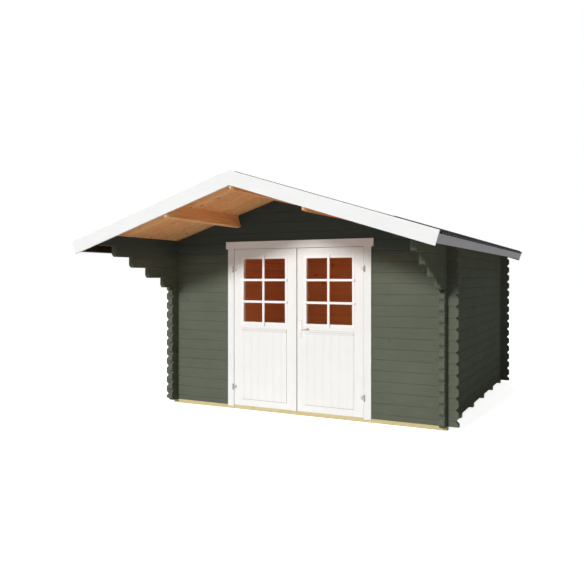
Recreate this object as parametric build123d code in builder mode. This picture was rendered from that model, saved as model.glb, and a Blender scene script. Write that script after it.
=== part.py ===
"""Log cabin with a deep front canopy on stepped corbel logs and a glazed double door.

Units are millimetres. +X is to the right, +Y to the back and +Z up, seen from the front.
The origin lies on the ground under the middle of the roof's plan.
"""

import os
from math import cos, radians, sin, sqrt, tan

from build123d import *

os.makedirs("parts", exist_ok=True)

# Walls
cabin_width = 3560.0
cabin_depth = 3560.0
log_thickness = 60.0
course_height = 121.0
side_courses = 16
log_overrun = 120.0
end_chamfer = 30.0
joint_bevel = 4.0
tongue_width = 10.0
tongue_height = 8.0
tongue_spacing = 22.0
groove_clearance = 1.0

# Stepped corbels that carry the canopy
corbel_courses = 4
first_corbel_reach = 286.0
corbel_step = 293.0

# Roof
roof_pitch = 17.5
eaves_log_height = 99.0
front_overhang = 1460.0
rear_overhang = 120.0
side_overhang = 288.0
roof_board_thickness = 20.0
felt_thickness = 4.0
felt_drop = 25.0
fascia_height = 140.0
fascia_thickness = 20.0
fascia_lip = 6.0
eaves_board_height = 106.0
eaves_board_thickness = 20.0
purlin_width = 50.0
purlin_height = 145.0
ridge_purlin_height = 160.0
side_purlin_distance = 870.0

# Base
bearer_count = 6
bearer_height = 45.0
bearer_width = 70.0
rear_bearer_inset = 30.0
floor_thickness = 20.0
floor_gap = 5.0

# Doorway
door_width = 1708.0
head_jamb_height = 68.5
jamb_thickness = 50.0
stop_width = 15.0
stop_gap = 5.0
threshold_height = 30.0
joiner_gap = 0.5
casing_width = 84.0
casing_thickness = 18.0
casing_drop = 12.0
head_casing_height = 90.0
head_casing_overhang = 27.0
head_casing_thickness = 22.0

# Door leaves
leaf_thickness = 40.0
leaf_proud = 12.0
leaf_gap = 5.0
meeting_gap = 8.0
meeting_offset = 17.0
cover_strip_width = 47.0
cover_strip_thickness = 12.0
cover_strip_bevel = 4.0
glazing_edge = 141.0
hanging_stile_width = 136.0
top_rail_height = 119.0
glazing_bottom = 1036.0
bead_width = 27.0
bead_proud = 5.0
glass_thickness = 6.0
glass_setback = 16.0
panel_bottom = 85.0
panel_top = 920.0
panel_overlap = 20.0
panel_proud = 10.0
panel_core_depth = 10.0
panel_board_width = 103.0
panel_first_board = 32.0
panel_groove_depth = 4.0
mould_height = 42.0
mould_projection = 16.0
mould_step = 8.0

# Hinges
lower_hinge_rise = 229.0
upper_hinge_drop = 247.0
knuckle_radius = 9.0
knuckle_rise = 35.0
knuckle_clearance = 1.0
knuckle_gap = 0.3
hinge_reach = 6.0
hinge_heel = 6.0
pin_radius = 4.0
pin_clearance = 0.05
pin_crown = 2.0
strap_thickness = 5.0
hinge_plate_length = 36.0
hinge_plate_height = 36.0
hinge_plate_thickness = 3.0

# Lever handle and its long plates
handle_centre = 62.0
handle_level = 985.0
plate_width = 40.0
plate_thickness = 8.0
plate_above = 95.0
plate_below = 121.0
plate_corner = 8.0
keyhole_drop = 72.0
keyhole_radius = 4.0
keyhole_sides = 8
keyhole_slot_width = 4.0
keyhole_slot_length = 12.0
spindle_side = 8.0
spindle_clearance = 0.05
neck_radius = 9.0
neck_length = 40.0
lever_length = 95.0
lever_height = 20.0
lever_thickness = 12.0
lever_corner = 5.0
lever_clearance = 0.3

# Places worked out from the sizes above
half_width = cabin_width / 2
half_log = course_height / 2
pitch = radians(roof_pitch)
roof_back = (front_overhang + cabin_depth + rear_overhang) / 2
roof_front = -roof_back
wall_front = roof_front + front_overhang
wall_back = wall_front + cabin_depth
base_level = bearer_height
eaves_log_level = base_level + side_courses * course_height
ridge_level = eaves_log_level + eaves_log_height + half_width * tan(pitch)
gable_level = eaves_log_level + half_log
door_half = door_width / 2
door_top = gable_level - head_jamb_height
door_height = door_top - base_level
leaf_face = wall_front - leaf_proud
leaf_back = leaf_face + leaf_thickness
leaf_bottom = base_level + leaf_gap
leaf_top = door_top - leaf_gap
leaf_edge = door_half - leaf_gap
glazing_top = leaf_top - top_rail_height
hinge_levels = (base_level + lower_hinge_rise, leaf_top - upper_hinge_drop)
lever_level = base_level + handle_level
spindle_bore = spindle_side / sqrt(2) + spindle_clearance
wall_inner = half_width - log_thickness
wall_end = half_width + log_overrun
opening_half = door_half + jamb_thickness

# Distance down the slope from the ridge to the square-cut edge of the roof
roof_build_up = roof_board_thickness + felt_thickness + fascia_lip
slope_length = (half_width + side_overhang - roof_build_up * sin(pitch)) / cos(pitch)


def log_section(height, tongued):
    """Section of a log, bevelled outside.

    A tongued log shows both faces, so both are bevelled. It has two tongues above and two grooves below.
    """
    middle = log_thickness / 2
    with BuildSketch() as section:
        with Locations((middle, height / 2)):
            Rectangle(log_thickness, height)
        outside = section.vertices().group_by(Axis.X)[0]
        chamfer(section.vertices() if tongued else outside, length=joint_bevel)
        if tongued:
            with Locations((middle - tongue_spacing / 2, height), (middle + tongue_spacing / 2, height)):
                Rectangle(tongue_width, 2 * tongue_height)
            groove_width = tongue_width + 2 * groove_clearance
            groove_depth = tongue_height + groove_clearance
            with Locations((middle - tongue_spacing / 2, 0), (middle + tongue_spacing / 2, 0)):
                Rectangle(groove_width, 2 * groove_depth, mode=Mode.SUBTRACT)
    return section.sketch


def log_blank(start, end, cuts="", crossings=(), laps="tb", height=course_height, tongued=False):
    """A log along X, its outer face on Y = 0, lapped a quarter of its course at each crossing.

    The cuts name its chamfered corners: t and b at the start, T and B at the end.
    The laps name the faces that are lapped: t for the top, b for the bottom.
    """
    corners = {"t": (start, height), "b": (start, 0), "T": (end, height), "B": (end, 0)}
    lap_levels = {"t": height, "b": 0}
    section = log_section(height, tongued)
    with BuildPart() as log:
        with BuildSketch(Plane.YZ.offset(start)):
            add(section)
        extrude(amount=end - start)
        if cuts or crossings:
            with BuildSketch(Plane.XZ.offset(-log_thickness)):
                for cut in cuts:
                    with Locations(corners[cut]):
                        Rectangle(end_chamfer * sqrt(2), end_chamfer * sqrt(2), rotation=45)
                for crossing in crossings:
                    for lap in laps:
                        with Locations((crossing + log_thickness / 2, lap_levels[lap])):
                            Rectangle(log_thickness, half_log)
            extrude(amount=log_thickness, mode=Mode.SUBTRACT)
    return log.part


def roof_point(side, distance, above):
    """Point of the roof's section: down the slope from the ridge, and square above its underside."""
    return (
        side * (distance * cos(pitch) + above * sin(pitch)),
        ridge_level - distance * sin(pitch) + above * cos(pitch),
    )


def ridge_point(above):
    """Point over the ridge where the two slopes' layers meet."""
    return (0, ridge_level + above / cos(pitch))


def slope_layer(side, low, high, front, back, end=slope_length):
    """A layer of one slope: plumb at the ridge, square at the lower edge."""
    with BuildPart() as layer:
        with BuildSketch(Plane.XZ.offset(-back)):
            with BuildLine():
                Polyline(
                    ridge_point(low),
                    ridge_point(high),
                    roof_point(side, end, high),
                    roof_point(side, end, low),
                    close=True,
                )
            make_face()
        extrude(amount=back - front)
    return layer.part


def edge_strip(side, near, far, low, high):
    """A strip that runs along the eaves for the whole depth of the roof."""
    with BuildPart() as strip:
        with BuildSketch(Plane.XZ.offset(-roof_back)):
            with Locations(roof_point(side, (near + far) / 2, (low + high) / 2)):
                Rectangle(far - near, high - low, rotation=-side * roof_pitch)
        extrude(amount=roof_back - roof_front)
    return strip.part


# Sections of the ridge purlin, bevelled to both slopes, and of the side purlins, square to the slope
with BuildSketch() as ridge_section:
    with Locations((0, ridge_level)):
        Rectangle(purlin_width, 2 * ridge_purlin_height)
    with BuildLine():
        Polyline(
            (0, ridge_level),
            roof_point(1, slope_length, 0),
            (half_width, 0),
            (-half_width, 0),
            roof_point(-1, slope_length, 0),
            close=True,
        )
    make_face(mode=Mode.INTERSECT)

with BuildSketch() as side_sections:
    for side in (-1, 1):
        with Locations(roof_point(side, side_purlin_distance, -purlin_height / 2)):
            Rectangle(purlin_width, purlin_height, rotation=-side * roof_pitch)

# The whole space under the roof's boards
with BuildPart() as roof_space:
    with BuildSketch(Plane.XZ.offset(-roof_back)):
        with BuildLine():
            Polyline(
                (0, ridge_level),
                roof_point(1, slope_length, 0),
                (half_width, 0),
                (-half_width, 0),
                roof_point(-1, slope_length, 0),
                close=True,
            )
        make_face()
    extrude(amount=roof_back - roof_front)

# Bearers under the walls, and the floor on them
bearer_pitch = (cabin_depth - rear_bearer_inset - bearer_width) / (bearer_count - 1)
bearer_middle = (wall_front + wall_back - rear_bearer_inset) / 2
with BuildPart() as floor_bearers:
    with BuildSketch(Plane.XY):
        with Locations((0, bearer_middle)):
            with GridLocations(cabin_width, bearer_pitch, 1, bearer_count):
                Rectangle(cabin_width, bearer_width)
    extrude(amount=bearer_height)
floor_bearers.part.label = "floor_bearers"
export_step(floor_bearers.part, "parts/floor_bearers.step")

floor_inset = log_thickness + floor_gap
with BuildPart() as floor_boards:
    with BuildSketch(Plane.XY.offset(base_level)):
        with Locations((0, (wall_front + wall_back) / 2)):
            Rectangle(cabin_width - 2 * floor_inset, cabin_depth - 2 * floor_inset)
    extrude(amount=floor_thickness)
floor_boards.part.label = "floor_boards"
export_step(floor_boards.part, "parts/floor_boards.step")

# Side walls: a log a course, the top courses drawn out step by step as corbels
side_crossings = (0, cabin_depth - log_thickness)
side_end = cabin_depth + log_overrun
first_corbel = side_courses - corbel_courses
plain_side_log = log_blank(-log_overrun, side_end, "tbTB", side_crossings)
corbel_logs = [
    log_blank(-first_corbel_reach - step * corbel_step, side_end, "bTB", side_crossings, tongued=True)
    for step in range(corbel_courses)
]
eaves_log = log_blank(-front_overhang, side_end, "B", side_crossings, laps="b", tongued=True)


def side_wall_logs(side, parity):
    """Every second log of a side wall, up to the eaves log that is cut to the slope."""
    with BuildPart() as logs:
        for course in range(parity, side_courses + 1, 2):
            blank = plain_side_log
            if course == side_courses:
                blank = eaves_log
            elif course >= first_corbel:
                blank = corbel_logs[course - first_corbel]
            level = base_level + course * course_height
            with Locations(Location((half_width, wall_front, level), (0, 0, 90))):
                add(blank)
        add(roof_space.part, mode=Mode.INTERSECT)
        if side < 0:
            mirror(about=Plane.YZ, mode=Mode.REPLACE)
    return logs


for side, word in ((-1, "left"), (1, "right")):
    for parity, turn in ((0, "even"), (1, "odd")):
        wall_logs = side_wall_logs(side, parity)
        wall_logs.part.label = f"{word}_wall_{turn}_logs"
        export_step(wall_logs.part, f"parts/{word}_wall_{turn}_logs.step")

# Front and rear walls: a half log at the foot sets their courses half a log higher
rear_crossings = (-half_width, wall_inner)
cross_walls = {
    "rear_wall": (
        Location((0, wall_back, 0), (0, 0, 180)),
        log_blank(-wall_end, wall_end, "tbTB", rear_crossings),
        log_blank(-wall_end, wall_end, "tT", rear_crossings, laps="t", height=half_log),
    ),
    "front_left": (
        Location((0, wall_front, 0)),
        log_blank(-wall_end, -opening_half, "tb", (-half_width,)),
        log_blank(-wall_end, -opening_half, "t", (-half_width,), laps="t", height=half_log),
    ),
    "front_right": (
        Location((0, wall_front, 0)),
        log_blank(opening_half, wall_end, "TB", (wall_inner,)),
        log_blank(opening_half, wall_end, "T", (wall_inner,), laps="t", height=half_log),
    ),
}


def cross_wall_logs(place, whole_log, foot_log, parity):
    """Every second log of a wall that runs along X, counted up from the half log."""
    with BuildPart() as logs:
        for course in range(parity, side_courses + 1, 2):
            level = base_level if course == 0 else base_level + course * course_height - half_log
            with Locations(place * Location((0, 0, level))):
                add(foot_log if course == 0 else whole_log)
    return logs


for word, (place, whole_log, foot_log) in cross_walls.items():
    for parity, turn in ((0, "even"), (1, "odd")):
        wall_logs = cross_wall_logs(place, whole_log, foot_log, parity)
        wall_logs.part.label = f"{word}_{turn}_logs"
        export_step(wall_logs.part, f"parts/{word}_{turn}_logs.step")

# Gables: logs between the eaves logs, cut to the slope and let in round the purlins
gable_courses = int((ridge_level - gable_level) // course_height) + 1
gable_log = log_blank(-wall_inner, wall_inner)


def gable_logs(place, parity):
    """Every second log of a gable."""
    with BuildPart() as logs:
        for course in range(parity, gable_courses, 2):
            with Locations(place * Location((0, 0, gable_level + course * course_height))):
                add(gable_log)
        add(roof_space.part, mode=Mode.INTERSECT)
        with BuildSketch(Plane.XZ.offset(-roof_back)):
            add(ridge_section.sketch)
            add(side_sections.sketch)
        extrude(amount=roof_back - roof_front, mode=Mode.SUBTRACT)
    return logs


for word, wall in (("front", "front_left"), ("rear", "rear_wall")):
    for parity, turn in ((0, "even"), (1, "odd")):
        wall_logs = gable_logs(cross_walls[wall][0], parity)
        wall_logs.part.label = f"{word}_gable_{turn}_logs"
        export_step(wall_logs.part, f"parts/{word}_gable_{turn}_logs.step")

# Purlins
with BuildPart() as ridge_purlin:
    with BuildSketch(Plane.XZ.offset(-roof_back)):
        add(ridge_section.sketch)
    extrude(amount=roof_back - roof_front)
ridge_purlin.part.label = "ridge_purlin"
export_step(ridge_purlin.part, "parts/ridge_purlin.step")

with BuildPart() as side_purlins:
    with BuildSketch(Plane.XZ.offset(-roof_back)):
        add(side_sections.sketch)
    extrude(amount=roof_back - roof_front)
side_purlins.part.label = "side_purlins"
export_step(side_purlins.part, "parts/side_purlins.step")

# Roof boards, felt, fascias and eaves boards
felt_top = roof_board_thickness + felt_thickness
fascia_top = felt_top + fascia_lip
fascia_bottom = fascia_top - fascia_height
board_end = slope_length - eaves_board_thickness
eaves_board_bottom = roof_board_thickness - eaves_board_height
for side, word in ((-1, "left"), (1, "right")):
    board_slab = slope_layer(side, 0, roof_board_thickness, roof_front, roof_back, end=board_end)
    felt_sheet = slope_layer(side, roof_board_thickness, felt_top, roof_front, roof_back)
    felt_apron = edge_strip(side, slope_length, slope_length + felt_thickness, felt_top - felt_drop, felt_top)
    front_board = slope_layer(side, fascia_bottom, fascia_top, roof_front - fascia_thickness, roof_front)
    rear_board = slope_layer(side, fascia_bottom, fascia_top, roof_back, roof_back + fascia_thickness)

    with BuildPart() as roof_boards:
        add(board_slab)
    roof_boards.part.label = f"{word}_roof_boards"
    export_step(roof_boards.part, f"parts/{word}_roof_boards.step")

    with BuildPart() as roof_felt:
        add(felt_sheet)
        add(felt_apron)
    roof_felt.part.label = f"{word}_roof_felt"
    export_step(roof_felt.part, f"parts/{word}_roof_felt.step")

    with BuildPart() as fascia_boards:
        add(front_board)
        add(rear_board)
    fascia_boards.part.label = f"{word}_fascia_boards"
    export_step(fascia_boards.part, f"parts/{word}_fascia_boards.step")

left_eaves_strip = edge_strip(-1, board_end, slope_length, eaves_board_bottom, roof_board_thickness)
right_eaves_strip = edge_strip(1, board_end, slope_length, eaves_board_bottom, roof_board_thickness)
with BuildPart() as eaves_boards:
    add(left_eaves_strip)
    add(right_eaves_strip)
eaves_boards.part.label = "eaves_boards"
export_step(eaves_boards.part, "parts/eaves_boards.step")

# Door frame: jambs and head in the wall, with stops and a threshold behind the leaves
jamb_back = wall_front + log_thickness
jamb_middle = wall_front + log_thickness / 2
stop_front = leaf_back + stop_gap
stop_middle = (stop_front + jamb_back) / 2
stop_depth = jamb_back - stop_front
with BuildPart() as side_jambs:
    with BuildSketch(Plane.XY.offset(base_level)):
        with Locations((0, jamb_middle)):
            with GridLocations(door_width + jamb_thickness, log_thickness, 2, 1):
                Rectangle(jamb_thickness, log_thickness)
    extrude(amount=gable_level - base_level)
side_jambs.part.label = "side_jambs"
export_step(side_jambs.part, "parts/side_jambs.step")

with BuildPart() as head_jamb:
    with BuildSketch(Plane.XY.offset(door_top)):
        with Locations((0, jamb_middle)):
            Rectangle(door_width, log_thickness)
    extrude(amount=gable_level - door_top)
head_jamb.part.label = "head_jamb"
export_step(head_jamb.part, "parts/head_jamb.step")

with BuildPart() as threshold:
    with BuildSketch(Plane.XY.offset(base_level)):
        with Locations((0, stop_middle)):
            Rectangle(door_width, stop_depth)
    extrude(amount=threshold_height)
threshold.part.label = "threshold"
export_step(threshold.part, "parts/threshold.step")

with BuildPart() as door_stops:
    with BuildSketch(Plane.XY.offset(base_level + threshold_height)):
        with Locations((0, stop_middle)):
            with GridLocations(door_width - stop_width, stop_depth, 2, 1):
                Rectangle(stop_width, stop_depth)
    extrude(amount=door_height - threshold_height)
    with BuildSketch(Plane.XY.offset(door_top - stop_width)):
        with Locations((0, stop_middle)):
            Rectangle(door_width - 2 * (stop_width + joiner_gap), stop_depth)
    extrude(amount=stop_width)
door_stops.part.label = "door_stops"
export_step(door_stops.part, "parts/door_stops.step")

# Casings round the doorway
with BuildPart() as side_casings:
    with BuildSketch(Plane.XY.offset(base_level - casing_drop)):
        with Locations((0, wall_front - casing_thickness / 2)):
            with GridLocations(door_width + casing_width, casing_thickness, 2, 1):
                Rectangle(casing_width, casing_thickness)
    extrude(amount=door_height + casing_drop)
side_casings.part.label = "side_casings"
export_step(side_casings.part, "parts/side_casings.step")

head_casing_width = door_width + 2 * (casing_width + head_casing_overhang)
with BuildPart() as head_casing:
    with BuildSketch(Plane.XY.offset(door_top)):
        with Locations((0, wall_front - head_casing_thickness / 2)):
            Rectangle(head_casing_width, head_casing_thickness)
    extrude(amount=head_casing_height)
head_casing.part.label = "head_casing"
export_step(head_casing.part, "parts/head_casing.step")

# Door leaves, each with a glazed upper part and a boarded lower panel
glazing_end = leaf_edge - hanging_stile_width
glazing_width = glazing_end - glazing_edge
glazing_foot = base_level + glazing_bottom
glazing_height = glazing_top - glazing_foot
glazing_level = (glazing_top + glazing_foot) / 2
pane_width = glazing_width + 2 * bead_width
pane_height = glazing_height + 2 * bead_width
panel_width = glazing_width + 2 * panel_overlap
panel_height = panel_top - panel_bottom
panel_level = base_level + (panel_top + panel_bottom) / 2
core_height = panel_height - 2 * panel_overlap
leaf_height = leaf_top - leaf_bottom
leaf_level = (leaf_top + leaf_bottom) / 2
groove_count = int((panel_width - panel_first_board) // panel_board_width) + 1
for side, word in ((-1, "left"), (1, "right")):
    meeting_edge = meeting_offset + side * meeting_gap / 2
    hanging_edge = side * leaf_edge
    leaf_middle = (hanging_edge + meeting_edge) / 2
    field_middle = side * (glazing_edge + glazing_end) / 2
    panel_left = field_middle - panel_width / 2

    with BuildPart() as leaf_frame:
        with BuildSketch(Plane.XZ.offset(-leaf_back)):
            with Locations((leaf_middle, leaf_level)):
                Rectangle(abs(hanging_edge - meeting_edge), leaf_height)
            with Locations((field_middle, glazing_level)):
                Rectangle(glazing_width, glazing_height, mode=Mode.SUBTRACT)
            with Locations((field_middle, panel_level)):
                Rectangle(glazing_width, core_height, mode=Mode.SUBTRACT)
        extrude(amount=leaf_thickness)
        with BuildSketch(Plane.XZ.offset(-leaf_face)):
            with Locations((field_middle, glazing_level)):
                Rectangle(pane_width, pane_height)
        extrude(amount=-glass_setback - glass_thickness, mode=Mode.SUBTRACT)
        if side > 0:
            with BuildSketch(Plane.XZ.offset(-leaf_back)):
                with Locations((handle_centre, lever_level)):
                    Circle(spindle_bore)
            extrude(amount=leaf_thickness, mode=Mode.SUBTRACT)
    leaf_frame.part.label = f"{word}_leaf_frame"
    export_step(leaf_frame.part, f"parts/{word}_leaf_frame.step")

    with BuildPart() as leaf_glass:
        with BuildSketch(Plane.XZ.offset(-leaf_face - glass_setback - glass_thickness)):
            with Locations((field_middle, glazing_level)):
                Rectangle(pane_width, pane_height)
        extrude(amount=glass_thickness)
    leaf_glass.part.label = f"{word}_leaf_glass"
    export_step(leaf_glass.part, f"parts/{word}_leaf_glass.step")

    with BuildPart() as leaf_beads:
        with BuildSketch(Plane.XZ.offset(-leaf_face - glass_setback)):
            with Locations((field_middle, glazing_level)):
                Rectangle(pane_width, pane_height)
                Rectangle(glazing_width, glazing_height, mode=Mode.SUBTRACT)
        extrude(amount=glass_setback + bead_proud)
    leaf_beads.part.label = f"{word}_leaf_beads"
    export_step(leaf_beads.part, f"parts/{word}_leaf_beads.step")

    # Boards of the panel stand proud of the frame, with their core let into it behind them
    with BuildPart() as leaf_panel:
        with BuildSketch(Plane.XZ.offset(-leaf_face)):
            with Locations((field_middle, panel_level)):
                Rectangle(panel_width, panel_height)
        extrude(amount=panel_proud)
        with BuildSketch(Plane.XZ.offset(-leaf_face - panel_core_depth)):
            with Locations((field_middle, panel_level)):
                Rectangle(glazing_width, core_height)
        extrude(amount=panel_core_depth)
        with BuildSketch(Plane.XY.offset(base_level + panel_bottom)):
            for number in range(groove_count):
                groove_x = panel_left + panel_first_board + number * panel_board_width
                with Locations((groove_x, leaf_face - panel_proud)):
                    Rectangle(panel_groove_depth * sqrt(2), panel_groove_depth * sqrt(2), rotation=45)
        extrude(amount=panel_height, mode=Mode.SUBTRACT)
        with BuildSketch(Plane.YZ.offset(panel_left)):
            with Locations((leaf_face, base_level + panel_top)):
                Rectangle(mould_projection, mould_height / 2, align=(Align.MAX, Align.MIN))
                Rectangle(mould_projection - mould_step, mould_height, align=(Align.MAX, Align.MIN))
        extrude(amount=panel_width)
    leaf_panel.part.label = f"{word}_leaf_panel"
    export_step(leaf_panel.part, f"parts/{word}_leaf_panel.step")

# Cover strip along the left leaf's meeting edge
strip_middle = meeting_offset - (meeting_gap + cover_strip_width) / 2
with BuildPart() as cover_strip:
    with BuildSketch(Plane.XZ.offset(-leaf_face)):
        with Locations((strip_middle, leaf_level)):
            Rectangle(cover_strip_width, leaf_height)
    extrude(amount=cover_strip_thickness)
    front_edges = cover_strip.faces().sort_by(Axis.Y)[0].edges().filter_by(Axis.Z)
    chamfer(front_edges, length=cover_strip_bevel)
cover_strip.part.label = "cover_strip"
export_step(cover_strip.part, "parts/cover_strip.step")

# Hinges: the leaf's knuckle stands on the frame's and turns round the frame's pin
hinge_x = door_half + hinge_reach
casing_face = wall_front - casing_thickness
hinge_y = casing_face - knuckle_radius - knuckle_clearance
plate_end = leaf_edge - hinge_plate_length
plate_bend = leaf_edge - hinge_heel - strap_thickness
plate_face = leaf_face - hinge_plate_thickness
leaf_knuckle_height = knuckle_rise + hinge_plate_height / 2
for side, word in ((-1, "left"), (1, "right")):
    with BuildPart() as leaf_hinges:
        for level in hinge_levels:
            knuckle_foot = level - hinge_plate_height / 2
            with BuildSketch(Plane.XY.offset(knuckle_foot)):
                with Locations((side * hinge_x, hinge_y)):
                    Circle(knuckle_radius)
            extrude(amount=leaf_knuckle_height)
            with BuildSketch(Plane.XY.offset(knuckle_foot)):
                with BuildLine():
                    Polyline(
                        (side * plate_end, leaf_face),
                        (side * plate_end, plate_face),
                        (side * plate_bend, plate_face),
                        (side * hinge_x, hinge_y - strap_thickness),
                        (side * hinge_x, hinge_y),
                        (side * (leaf_edge - hinge_heel), leaf_face),
                        close=True,
                    )
                make_face()
            extrude(amount=hinge_plate_height)
            with BuildSketch(Plane.XY.offset(knuckle_foot)):
                with Locations((side * hinge_x, hinge_y)):
                    Circle(pin_radius + pin_clearance)
            extrude(amount=leaf_knuckle_height, mode=Mode.SUBTRACT)
    leaf_hinges.part.label = f"{word}_leaf_hinges"
    export_step(leaf_hinges.part, f"parts/{word}_leaf_hinges.step")

frame_knuckle_height = knuckle_rise - hinge_plate_height / 2 - knuckle_gap
with BuildPart() as frame_hinges:
    for level in hinge_levels:
        with BuildSketch(Plane.XY.offset(level - knuckle_rise)):
            with Locations((-hinge_x, hinge_y), (hinge_x, hinge_y)):
                Circle(knuckle_radius)
                Rectangle(knuckle_radius, knuckle_radius + knuckle_clearance, align=(Align.CENTER, Align.MIN))
        extrude(amount=frame_knuckle_height)
        with BuildSketch(Plane.XY.offset(level - knuckle_rise)):
            with Locations((-hinge_x, hinge_y), (hinge_x, hinge_y)):
                Circle(pin_radius)
        extrude(amount=2 * knuckle_rise + pin_crown)
frame_hinges.part.label = "frame_hinges"
export_step(frame_hinges.part, "parts/frame_hinges.step")

# Handle plates on both faces of the right leaf, and the levers on their spindle
plate_height = plate_above + plate_below
plate_middle = lever_level + (plate_above - plate_below) / 2
keyhole_level = lever_level - keyhole_drop
with BuildPart() as handle_plates:
    for face, outward in ((leaf_face, 1), (leaf_back, -1)):
        with BuildSketch(Plane.XZ.offset(-face)) as plate:
            with Locations((handle_centre, plate_middle)):
                Rectangle(plate_width, plate_height)
            chamfer(plate.vertices(), length=plate_corner)
            with Locations((handle_centre, lever_level)):
                Circle(spindle_bore, mode=Mode.SUBTRACT)
            with Locations((handle_centre, keyhole_level)):
                RegularPolygon(keyhole_radius, keyhole_sides, mode=Mode.SUBTRACT)
                Rectangle(
                    keyhole_slot_width,
                    keyhole_slot_length,
                    align=(Align.CENTER, Align.MAX),
                    mode=Mode.SUBTRACT,
                )
        extrude(amount=outward * plate_thickness)
handle_plates.part.label = "handle_plates"
export_step(handle_plates.part, "parts/handle_plates.step")

neck_reach = plate_thickness + neck_length
with BuildPart() as door_lever:
    with BuildSketch(Plane.XZ.offset(-leaf_back - neck_reach)):
        with Locations((handle_centre, lever_level)):
            Rectangle(spindle_side, spindle_side)
    extrude(amount=leaf_thickness + 2 * neck_reach)
    for face, outward in ((leaf_face, 1), (leaf_back, -1)):
        with BuildSketch(Plane.XZ.offset(-face + outward * (plate_thickness + lever_clearance))):
            with Locations((handle_centre, lever_level)):
                Circle(neck_radius)
        extrude(amount=outward * (neck_length - lever_clearance))
        with BuildSketch(Plane.XZ.offset(-face + outward * neck_reach)) as grip:
            with Locations((handle_centre + lever_length / 2, lever_level)):
                Rectangle(lever_length + lever_height, lever_height)
            chamfer(grip.vertices(), length=lever_corner)
        extrude(amount=-outward * lever_thickness)
door_lever.part.label = "door_lever"
export_step(door_lever.part, "parts/door_lever.step")
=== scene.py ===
# %% [markdown]
# # A log cabin: looks on top of the CAD frame
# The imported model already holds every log, board and hinge in its place.
# This file adds what a photograph shows beyond that form: painted and bare
# timber, the boards under the roof, the bars of the glazing and the screws.

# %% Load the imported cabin
import math

import bpy
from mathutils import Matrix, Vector


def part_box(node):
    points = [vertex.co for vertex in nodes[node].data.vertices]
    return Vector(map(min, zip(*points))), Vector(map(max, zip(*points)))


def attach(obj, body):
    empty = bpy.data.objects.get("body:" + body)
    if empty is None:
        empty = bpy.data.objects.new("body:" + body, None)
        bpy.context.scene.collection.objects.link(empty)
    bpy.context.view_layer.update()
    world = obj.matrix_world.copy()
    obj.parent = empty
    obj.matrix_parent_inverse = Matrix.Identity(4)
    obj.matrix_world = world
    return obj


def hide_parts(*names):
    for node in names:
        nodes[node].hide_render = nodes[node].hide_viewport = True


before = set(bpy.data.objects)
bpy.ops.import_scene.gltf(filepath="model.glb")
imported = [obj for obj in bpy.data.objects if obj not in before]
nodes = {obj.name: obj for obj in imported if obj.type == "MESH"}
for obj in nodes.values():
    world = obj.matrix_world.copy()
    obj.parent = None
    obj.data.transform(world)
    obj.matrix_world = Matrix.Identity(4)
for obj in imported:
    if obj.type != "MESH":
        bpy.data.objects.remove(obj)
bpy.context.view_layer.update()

# %% [markdown]
# ## Building a material
# A material here is a small network: textures read the position on the piece,
# a few sums turn them into masks, and the masks steer one shader.
# Helpers keep each network short. One makes a node with its settings and
# sockets in a single call, and others make an arithmetic node, an eased step
# or a mix of two colours and hand back the result.

# %% Node helpers
def linear(red, green, blue):
    """A colour given as 0-255 screen values, as the shader wants it."""
    steps = [value / 255 for value in (red, green, blue)]
    return tuple(s / 12.92 if s < 0.04045 else ((s + 0.055) / 1.055) ** 2.4 for s in steps) + (1.0,)


def connect(tree, node, sockets):
    """A node with its input sockets set to values or linked to other nodes."""
    for name, value in sockets.items():
        if isinstance(value, bpy.types.NodeSocket):
            tree.links.new(value, node.inputs[name])
        else:
            node.inputs[name].default_value = value
    return node


def put(tree, kind, settings=None, sockets=None):
    """A node in a tree, with its settings, and its sockets set or linked."""
    made = tree.nodes.new("ShaderNode" + kind)
    for name, value in (settings or {}).items():
        setattr(made, name, value)
    return connect(tree, made, sockets or {})


def sums(tree, operation, *values):
    """The result of an arithmetic node."""
    made = put(tree, "Math", {"operation": operation}, dict(enumerate(values)))
    return made.outputs[0]


def fade(tree, value, start, end, low=0.0, high=1.0):
    """A value eased from low to high as it passes from start to end."""
    made = put(tree, "MapRange", {"interpolation_type": "SMOOTHSTEP"},
               {"Value": value, "From Min": start, "From Max": end, "To Min": low, "To Max": high})
    return made.outputs["Result"]


def blend(tree, share, first, second):
    """Two colours mixed by a share."""
    made = put(tree, "Mix", {"data_type": "RGBA"}, {0: share, 6: first, 7: second})
    return made.outputs[2]


def new_group(name, inputs, outputs):
    """An empty shader group with named sockets, and its two end nodes."""
    kinds = {"f": "NodeSocketFloat", "v": "NodeSocketVector", "c": "NodeSocketColor"}
    tree = bpy.data.node_groups.new(name, "ShaderNodeTree")
    for label, kind in inputs.items():
        tree.interface.new_socket(label, in_out="INPUT", socket_type=kinds[kind])
    for label, kind in outputs.items():
        tree.interface.new_socket(label, in_out="OUTPUT", socket_type=kinds[kind])
    return tree, tree.nodes.new("NodeGroupInput"), tree.nodes.new("NodeGroupOutput")


def use_group(tree, group, sockets):
    """A shader group placed in a material."""
    made = tree.nodes.new("ShaderNodeGroup")
    made.node_tree = group
    return connect(tree, made, sockets)


def new_material(name):
    """A material, its tree and its shader node."""
    material = bpy.data.materials.new(name)
    material.use_nodes = True
    tree = material.node_tree
    return material, tree, tree.nodes["Principled BSDF"]


# %% [markdown]
# ## The grain of softwood
# Spruce shows growth rings as wavy stripes along the board, a fine fibre on
# top of them, and round knots that the stripes flow around. The stripes come
# from one stretched noise pushed through a sine. The knots are the cells of a
# sparse Voronoi pattern, kept only where the cell's own random value is high.
# The pattern is deep as well as wide, so few of the kept cells reach a face.

# %% Softwood grain group
knot_core, knot_rim, knot_reach = 0.055, 0.095, 0.30
knot_threshold = 0.5
ring_turns = 75.0


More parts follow.
